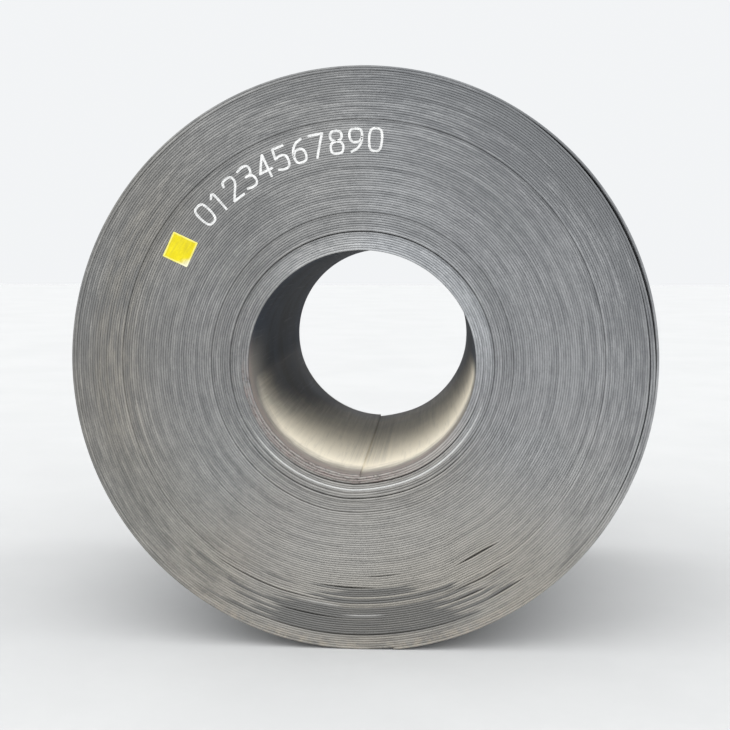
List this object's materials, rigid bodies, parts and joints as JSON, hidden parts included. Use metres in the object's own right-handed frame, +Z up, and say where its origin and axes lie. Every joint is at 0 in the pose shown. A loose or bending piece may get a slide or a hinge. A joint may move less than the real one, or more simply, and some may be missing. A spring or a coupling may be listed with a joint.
{
  "type": "steel coil",
  "caption": "Wound coil of thick hot-rolled steel strip lying on its round side, with an open eye, stepped turn edges, steel bands with crimped seals and a blank label.",
  "frame": {"origin": "on the floor, under the middle of the coil's eye, halfway along the strip's width", "axes": "+Y along the coil's eye, from the marked end to the far end; +Z up"},
  "size_m": [1.9578, 1.511, 1.9516],
  "materials": {
    "strip": "hot-rolled, blue-grey mill scale with light rust",
    "band": "blued",
    "seal": "dull",
    "label": "coated, faded in places"
  },
  "bodies": {
    "root": {"coil": "strip", "strap_1": "band", "strap_2": "band", "seal_1": "seal", "seal_2": "seal", "label": "label"}
  },
  "joints": []
}
